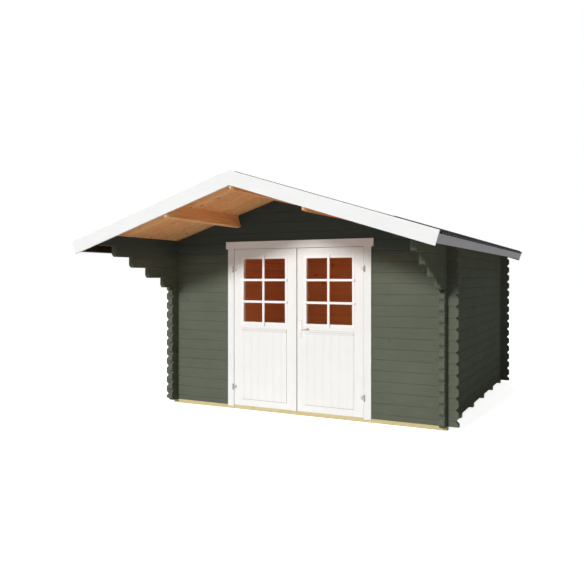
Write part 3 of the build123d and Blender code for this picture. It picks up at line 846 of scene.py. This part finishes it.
# %% [markdown]
# ## Ridge capping
# A strip of felt is folded over the ridge. Each half is modelled flat, tipped
# to its slope and sawn off plumb where the two meet.

# %% Ridge capping
cap_width, cap_end, cap_lift = 0.160, 2.5695, 0.0004
caps = []
for side in (-1, 1):
    reach = sorted((-side * past_ridge, side * cap_width))
    block((reach[0], -cap_end, felt_top + cap_lift), (reach[1], cap_end, felt_top + cap_lift + 0.003))
    ease_edges(0.001, lambda a, b: abs(a.y - b.y) > 1 and min(abs(a.x), abs(b.x)) > 0.1, 2)
    tip_to_slope(side)
    saw((0, 0, 0), (-side, 0, 0))
    caps.append(bpy.context.object)
join(caps)
capping = finished("ridge_capping", "cabin", felt)
print(capping.name, [round(x, 4) for x in capping.dimensions])

# %% [markdown]
# ## Felt nails
# Flat-headed nails hold the lower edges of the sheets, the capping and the
# felt turned down along the eaves. One head is a low cylinder with an eased
# rim, and an array repeats it.

# %% Felt nails
nail_radius, nail_height, nail_lift = 0.005, 0.0012, 0.0002
nail_step, nail_count = 0.100, 50
apron_face = 2.1629


def nail_row(x, z, axis):
    """A row of flat round nail heads along Y, facing along an axis."""
    bpy.ops.object.select_all(action="DESELECT")
    turn = (0, math.pi / 2, 0) if axis == "X" else (0, 0, 0)
    bpy.ops.mesh.primitive_cylinder_add(vertices=10, radius=nail_radius, depth=nail_height,
                                        location=(x, -nail_step * (nail_count - 1) / 2, z), rotation=turn)
    bpy.ops.object.transform_apply(location=True, rotation=True, scale=True)
    ease_edges(0.0004)
    repeat(nail_count, (0, nail_step, 0))
    return bpy.context.object


for side, name in ((-1, "left"), (1, "right")):
    rows = [nail_row(side * (apron_face + nail_lift), 0.0115, "X")]
    for upper, lower in lap_bands:
        rows.append(nail_row(side * (lower - 0.02), felt_top + lap_thickness + nail_lift, "Z"))
    rows.append(nail_row(side * (cap_width - 0.015), felt_top + cap_lift + 0.0034, "Z"))
    for row in rows:
        bpy.ops.object.select_all(action="DESELECT")
        row.select_set(True)
        bpy.context.view_layer.objects.active = row
        tip_to_slope(side)
    join(rows)
    nails = finished(f"{name}_felt_nails", "cabin", hinge_steel)
    print(nails.name, len(nails.data.polygons))

# %% [markdown]
# ## Screws
# Small countersunk screws with a crossed slot hold the handle plates and the
# hinge plates. The head is a short cylinder with an eased rim, and the slot is
# cut out of it with a boolean.

# %% Screws
head_radius, head_depth, head_lift = 0.0032, 0.0014, 0.0004
slot_long, slot_wide = 0.7 * head_radius, 0.16 * head_radius
plate_x, plate_levels = 0.062, (0.924, 1.110)
plate_faces = ((-1.130, -1), (-1.074, 1))
hinge_x, hinge_face, hinge_levels = 0.8245, -1.125, (0.274, 1.721)


def screw(x, y, z, outward):
    """A screw head on a face at y, seen from the outward side of Y."""
    bpy.ops.object.select_all(action="DESELECT")
    bpy.ops.mesh.primitive_cylinder_add(vertices=16, radius=head_radius, depth=head_depth,
                                        location=(x, y + outward * head_lift, z),
                                        rotation=(math.pi / 2, 0, 0))
    bpy.ops.object.transform_apply(location=True, rotation=True, scale=True)
    ease_edges(0.0003)
    head = bpy.context.object
    for wide, tall in ((slot_long, slot_wide), (slot_wide, slot_long)):
        slot_shape = block((x - wide, y + outward * 0.0005, z - tall),
                           (x + wide, y + outward * 0.0025, z + tall))
        cut = head.modifiers.new("Slot", "BOOLEAN")
        cut.operation, cut.object = "DIFFERENCE", slot_shape
        bpy.context.view_layer.objects.active = head
        bpy.ops.object.modifier_apply(modifier=cut.name)
        bpy.data.objects.remove(slot_shape)
    return head


join([screw(plate_x, y, z, outward) for y, outward in plate_faces for z in plate_levels])
plate_screws = finished("handle_screws", "right_leaf", handle_steel)
print(plate_screws.name, len(plate_screws.data.polygons))

for side, name in ((-1, "left"), (1, "right")):
    join([screw(side * hinge_x, hinge_face, z, -1) for z in hinge_levels])
    hinge_screws = finished(f"{name}_hinge_screws", f"{name}_leaf", hinge_steel)
    print(hinge_screws.name, len(hinge_screws.data.polygons))

# %% [markdown]
# ## Lock case
# Behind each keyhole lies the case of the lock, a small eased block set
# into the slot of the plate. Its dark colour is partly the case's own and
# partly painted shade for the depth of the keyhole.

# %% Lock case behind the keyhole
# Dark enough to stand for the shade deep in the keyhole: partly painted shade.
lock_case_shade_material, shader = mottled_material("lock_case_keyhole_shade", 400.0, linear(38, 36, 34), linear(58, 55, 52))
shader.inputs["Roughness"].default_value = 0.7
case_half_width, case_bottom, case_top = 0.0019, 0.9525, 0.9612
case_depths = ((-1.1248, -1.1221), (-1.0819, -1.0792))
cases = []
for low, high in case_depths:
    block((plate_x - case_half_width, low, case_bottom), (plate_x + case_half_width, high, case_top))
    ease_edges(0.0003)
    cases.append(bpy.context.object)
join(cases)
lock_case = finished("lock_case", "right_leaf", lock_case_shade_material)
print(lock_case.name, len(lock_case.data.polygons))

# %% [markdown]
# ## Seal between the leaves
# A pale strip lines the gap where the two leaves meet.

# %% Meeting seal
seal_low, seal_high = (0.0135, -1.112, 0.06), (0.0185, -1.092, 1.96)
block(seal_low, seal_high)
ease_edges(0.0015, segments=2)
seal_material, shader = mottled_material("seal_strip", 30.0, linear(232, 230, 227), linear(244, 242, 240))
seal = finished("meeting_seal", "left_leaf", seal_material)
print(seal.name, len(seal.data.polygons))

# %% [markdown]
# ## Ground
# The ground is a white sheet that keeps the cabin's shadow. Seen directly it
# glows a little, so that it stays white where it meets the sky.

# %% Ground
def seen_directly(tree):
    """One for rays from the eye, off metal and through glass, and nought for the rest."""
    light = put(tree, "LightPath")
    return sums(tree, "MAXIMUM", light.outputs["Is Camera Ray"],
                sums(tree, "MAXIMUM", light.outputs["Is Glossy Ray"], light.outputs["Is Transmission Ray"]))


ground_size, ground_gap, ground_glow = 120, 0.001, 0.84
bpy.ops.mesh.primitive_plane_add(size=ground_size, location=(0, 0, -ground_gap))
ground = bpy.context.object
ground.name = "ground"
ground_material, tree, shader = new_material("white_ground")
glow = sums(tree, "MULTIPLY", seen_directly(tree), ground_glow)
connect(tree, shader, {"Base Color": (0.9, 0.9, 0.9, 1.0), "Roughness": 1.0, "Specular IOR Level": 0.0,
                       "Emission Color": (1.0, 1.0, 1.0, 1.0), "Emission Strength": glow})
ground.data.materials.append(ground_material)
print("ground:", ground_size, "m")

# %% [markdown]
# ## Sky
# Seen directly the sky is plain white. As a light it is bright overhead and dim
# at the horizon, so it lights the ground, which throws light up under the roof.

# %% Sky
dome_low, dome_rise = 0.03, 0.4
world = bpy.data.worlds.new("sky")
bpy.context.scene.world = world
world.use_nodes = True
tree = world.node_tree
upward = put(tree, "SeparateXYZ", None, {"Vector": put(tree, "TexCoord").outputs["Generated"]})
overhead = sums(tree, "POWER", sums(tree, "MAXIMUM", upward.outputs["Z"], 0.0), 2.0)
dome = sums(tree, "MULTIPLY_ADD", overhead, dome_rise, dome_low)
connect(tree, tree.nodes["Background"], {
    "Color": (1.0, 1.0, 1.0, 1.0), "Strength": sums(tree, "MAXIMUM", seen_directly(tree), dome)})
print("sky nodes:", len(tree.nodes))

# %% [markdown]
# ## Lamps
# The sun stands low in front, a little to the left. Large soft lamps fill the
# porch, the right side and the rear. One more inside the room lights the rear
# wall, which is what shows through the panes.

# %% Lamps
sun_bearing, sun_height = math.radians(8), math.radians(19)
bpy.ops.object.light_add(type="SUN", location=(0, -6, 4))
sun = bpy.context.object
sun.data.energy = 2.3
sun.data.angle = math.radians(9)
toward = Vector((-math.sin(sun_bearing) * math.cos(sun_height),
                 -math.cos(sun_bearing) * math.cos(sun_height), math.sin(sun_height)))
sun.rotation_euler = toward.to_track_quat("Z", "Y").to_euler()


def soft_lamp(place, aim, size, energy, unseen):
    """A rectangular lamp turned to a point, left out of some kinds of view."""
    bpy.ops.object.light_add(type="AREA", location=place)
    lamp = bpy.context.object
    lamp.data.shape = "RECTANGLE"
    lamp.data.size, lamp.data.size_y = size
    lamp.data.energy = energy
    lamp.rotation_euler = (Vector(place) - Vector(aim)).to_track_quat("Z", "Y").to_euler()
    for kind in unseen:
        setattr(lamp, f"visible_{kind}", False)
    return lamp


softbox = soft_lamp((-3.0, -11.0, 2.2), (0.0, -1.1, 1.3), (7.0, 4.0), 60.0, ["glossy"])
softbox.data.color = (0.84, 0.92, 1.0)
soft_lamp((12.0, 0.0, 2.0), (0.0, 0.0, 2.0), (5.0, 5.0), 30.0, ["glossy"])
soft_lamp((-3.0, 13.0, 5.0), (0.0, 2.4, 1.2), (6.0, 4.0), 420.0, ["glossy"])
soft_lamp((0.0, -0.9, 0.6), (0.0, 2.4, 0.6), (2.6, 0.8), 15.0, ["camera", "glossy", "transmission"])
print("lamps:", len(bpy.data.lights))

# %% [markdown]
# ## Camera
# The camera's place, bearing and lens were fitted to the joints between the
# logs. It looks level, and the lens is shifted down a little instead of tilted,
# so uprights stay upright.

# %% Camera
camera_place, camera_bearing = (3.388, -7.943, 1.620), math.radians(26.75)
bpy.ops.object.camera_add(location=camera_place, rotation=(math.pi / 2, 0, camera_bearing))
camera = bpy.context.object
camera.data.sensor_width = 36.0
camera.data.lens = 39.797
camera.data.shift_y = -0.0244
bpy.context.scene.camera = camera
bpy.context.scene.view_settings.view_transform = "Standard"
print("camera lens:", round(camera.data.lens, 2))
